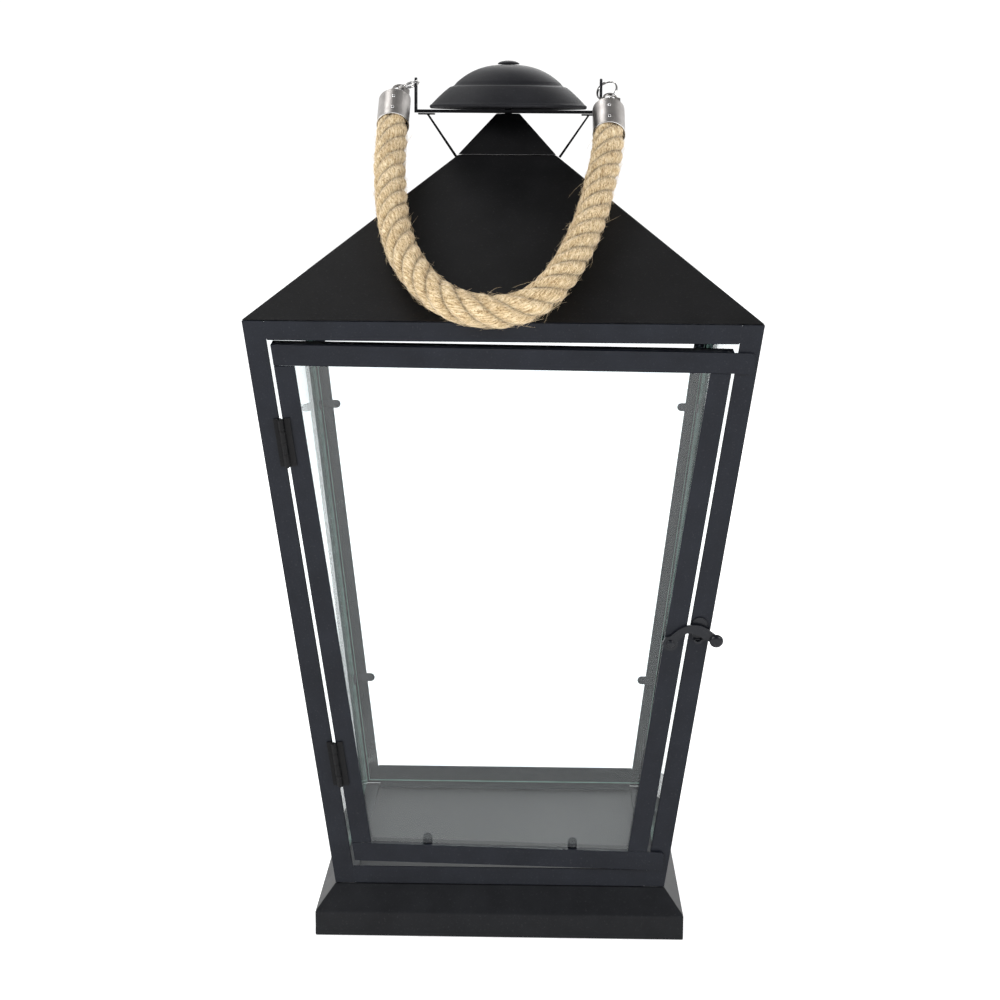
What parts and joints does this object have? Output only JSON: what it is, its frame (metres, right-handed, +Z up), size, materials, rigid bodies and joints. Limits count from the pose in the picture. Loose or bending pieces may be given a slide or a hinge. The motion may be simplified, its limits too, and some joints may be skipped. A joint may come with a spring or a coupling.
{
  "type": "candle lantern",
  "caption": "Tapered metal and glass candle lantern with a hinged latching door, hipped roof with vented cap, and rope carrying handle on split rings.",
  "frame": {"origin": "centre of the base, on the surface the lantern stands on", "axes": "+Z up, the door faces -Y, +X is to the right when looking at the door"},
  "size_m": [0.31, 0.3278, 0.5556],
  "materials": {
    "frame_paint": "satin blue-black paint",
    "roof_paint": "satin black paint",
    "clear_glass": "clear polished",
    "jute_rope": "hairy twisted natural fibre",
    "ferrule_metal": "nickel plated, slightly dulled",
    "ring_steel": "bright steel wire"
  },
  "bodies": {
    "lantern": {"base_plinth": "frame_paint", "post_front_left": "frame_paint", "post_front_right": "frame_paint", "post_rear_left": "frame_paint", "post_rear_right": "frame_paint", "rail_top_front": "frame_paint", "rail_top_rear": "frame_paint", "rail_top_left": "frame_paint", "rail_top_right": "frame_paint", "rail_bottom_front": "frame_paint", "rail_bottom_rear": "frame_paint", "rail_bottom_left": "frame_paint", "rail_bottom_right": "frame_paint", "glass_left": "clear_glass", "glass_right": "clear_glass", "glass_rear": "clear_glass", "glass_clip_left_1": "frame_paint", "glass_clip_left_2": "frame_paint", "glass_clip_left_3": "frame_paint", "glass_clip_left_4": "frame_paint", "glass_clip_right_1": "frame_paint", "glass_clip_right_2": "frame_paint", "glass_clip_right_3": "frame_paint", "glass_clip_right_4": "frame_paint", "glass_clip_rear_1": "frame_paint", "glass_clip_rear_2": "frame_paint", "glass_clip_rear_3": "frame_paint", "glass_clip_rear_4": "frame_paint", "roof_lower": "roof_paint", "roof_upper": "roof_paint", "handle_bracket": "roof_paint", "strut_left": "roof_paint", "strut_right": "roof_paint", "cap": "roof_paint", "cap_bolt": "roof_paint", "cap_nut": "ring_steel", "latch_keeper": "frame_paint", "hinge_top_post_leaf": "frame_paint", "hinge_top_pin": "frame_paint", "hinge_bottom_post_leaf": "frame_paint", "hinge_bottom_pin": "frame_paint"},
    "door": {"door_stile_left": "frame_paint", "door_stile_right": "frame_paint", "door_rail_top": "frame_paint", "door_rail_bottom": "frame_paint", "door_glass": "clear_glass", "door_glass_clip_1": "frame_paint", "door_glass_clip_2": "frame_paint", "hinge_top_door_leaf": "frame_paint", "hinge_bottom_door_leaf": "frame_paint", "latch_rivet": "frame_paint"},
    "latch": {"latch_arm": "frame_paint"},
    "handle": {"handle_rope": "jute_rope", "ferrule_left": "ferrule_metal", "ferrule_right": "ferrule_metal", "ring_left": "ring_steel", "ring_right": "ring_steel"}
  },
  "joints": [
    {"name": "door_swing", "type": "hinge", "parent": "lantern", "child": "door", "pos_m": [-0.11718, -0.1348, 0.21952], "axis": [0.1312, 0.1312, -0.9826], "range_deg": [0, 75]},
    {"name": "latch_swing", "type": "hinge", "parent": "door", "child": "latch", "pos_m": [0.10483, -0.1314, 0.1986], "axis": [0, -0.9912, -0.1323], "range_deg": [0, 110]},
    {"name": "handle_swing", "type": "hinge", "parent": "lantern", "child": "handle", "pos_m": [0, 0, 0.54], "axis": [-1, 0, 0], "range_deg": [0, 215]}
  ]
}
